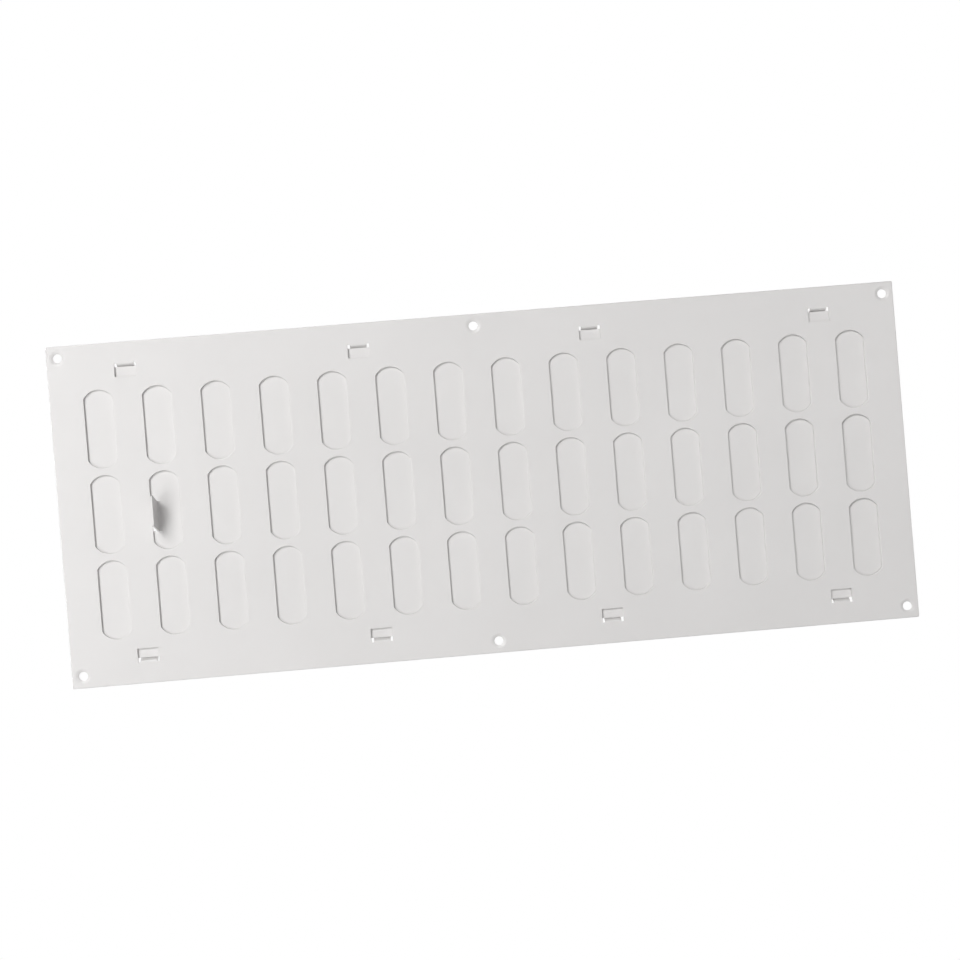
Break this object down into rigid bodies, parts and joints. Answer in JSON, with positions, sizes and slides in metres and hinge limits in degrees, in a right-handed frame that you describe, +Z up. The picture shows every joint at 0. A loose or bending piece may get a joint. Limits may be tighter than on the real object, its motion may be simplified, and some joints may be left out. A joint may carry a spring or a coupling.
{
  "type": "sliding shutter ventilation panel",
  "caption": "Flat sheet-metal ventilation panel with rows of round-ended slots and a slotted shutter behind it that slides to open or close them.",
  "frame": {"origin": "centre of the front plate's back face, which is also the centre of the corner screw holes", "axes": "+X along the panel's length, +Z up as fixed on a wall, +Y into the wall; the front of the panel faces -Y"},
  "size_m": [0.4, 0.0131, 0.16],
  "materials": {
    "plate_coating": "satin",
    "shutter_coating": "satin"
  },
  "bodies": {
    "plate": {"front_plate": "plate_coating"},
    "shutter": {"shutter_plate": "shutter_coating"}
  },
  "joints": [
    {"name": "shutter_slide", "type": "slide", "parent": "plate", "child": "shutter", "axis": [1, 0, 0], "range_m": [-0.0017, 0.01]}
  ]
}
